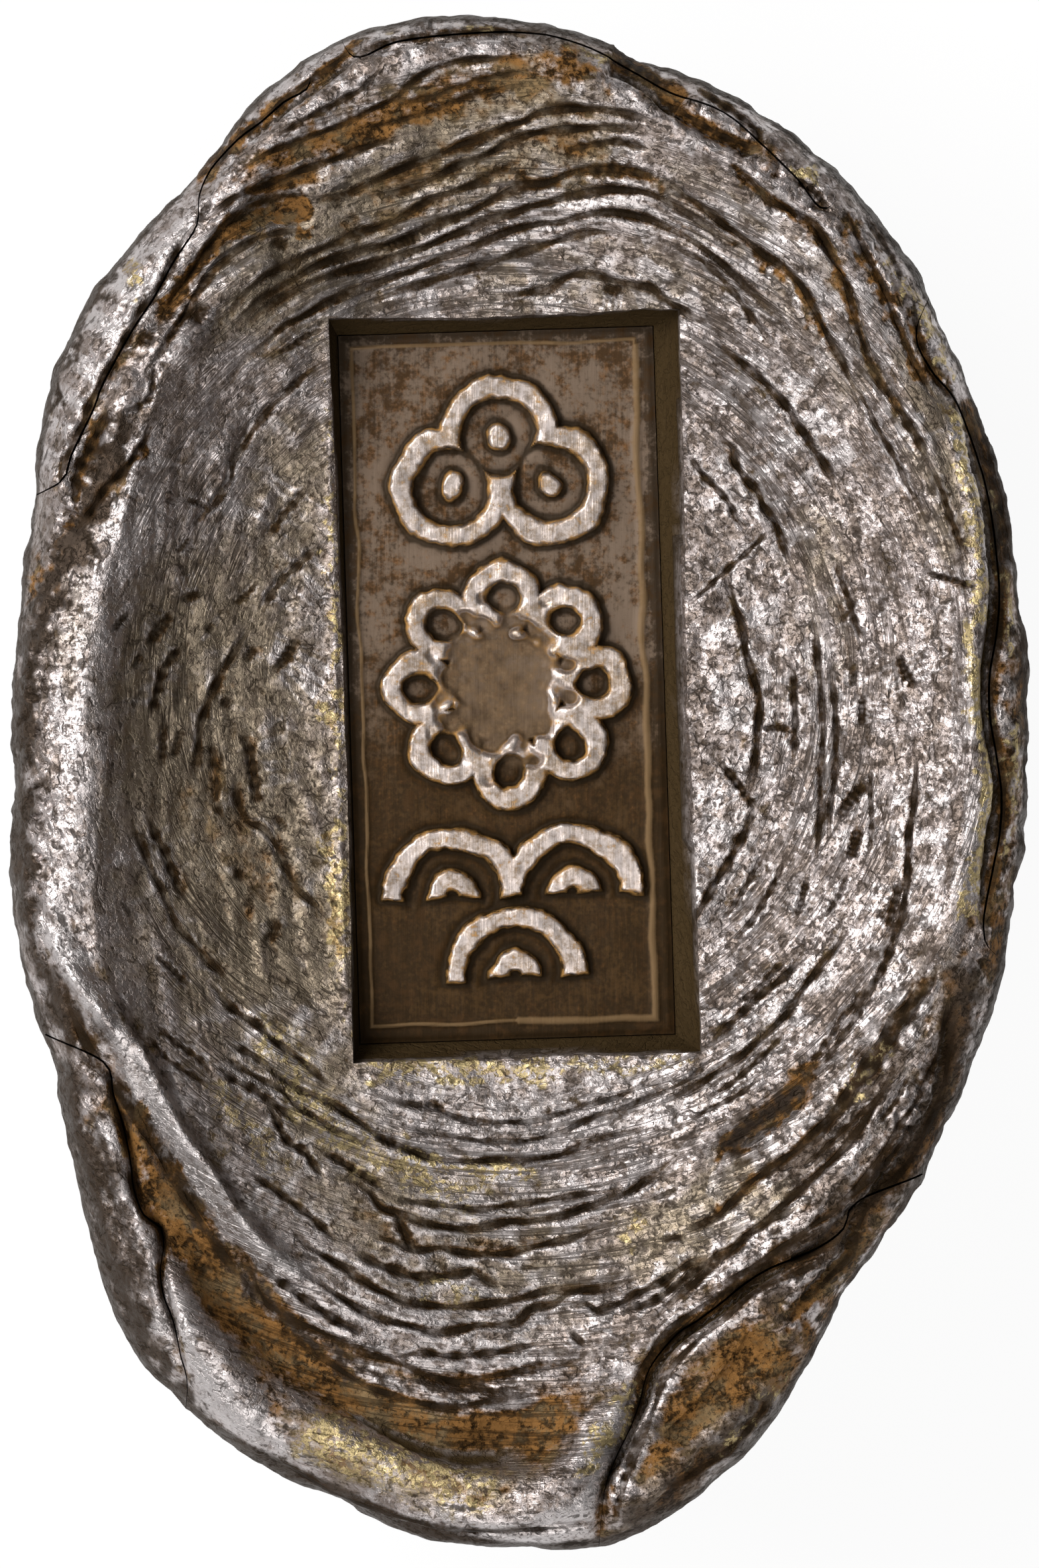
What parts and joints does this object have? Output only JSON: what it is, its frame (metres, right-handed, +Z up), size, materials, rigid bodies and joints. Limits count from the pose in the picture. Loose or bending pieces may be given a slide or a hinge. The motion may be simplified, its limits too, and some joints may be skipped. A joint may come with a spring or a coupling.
{
  "type": "silver sycee ingot",
  "caption": "Oval cast silver ingot with a dished, rippled face, a rim lapped over itself in tongues, a struck panel of raised ornament, and a flat base to rest on.",
  "frame": {"origin": "middle of the flat base, under the middle of the outline's box", "axes": "+Y along the ingot, towards the end that the panel is nearer to; +Z up, out of the dished face"},
  "size_m": [0.0332, 0.05, 0.019],
  "materials": {
    "cast_silver": "worn cast silver, bright on the crests, brown tarnish in the grooves",
    "struck_tarnish": "dark brown tarnish with the raised strokes rubbed bright",
    "lapped_silver": "pitted cast silver with brown tarnish in the seams"
  },
  "bodies": {
    "root": {"cast_body": "cast_silver", "struck_panel": "struck_tarnish", "top_lap": "lapped_silver", "upper_left_lap": "lapped_silver", "right_lap": "lapped_silver", "lower_left_lap": "lapped_silver", "lower_right_lap": "lapped_silver"}
  },
  "joints": []
}
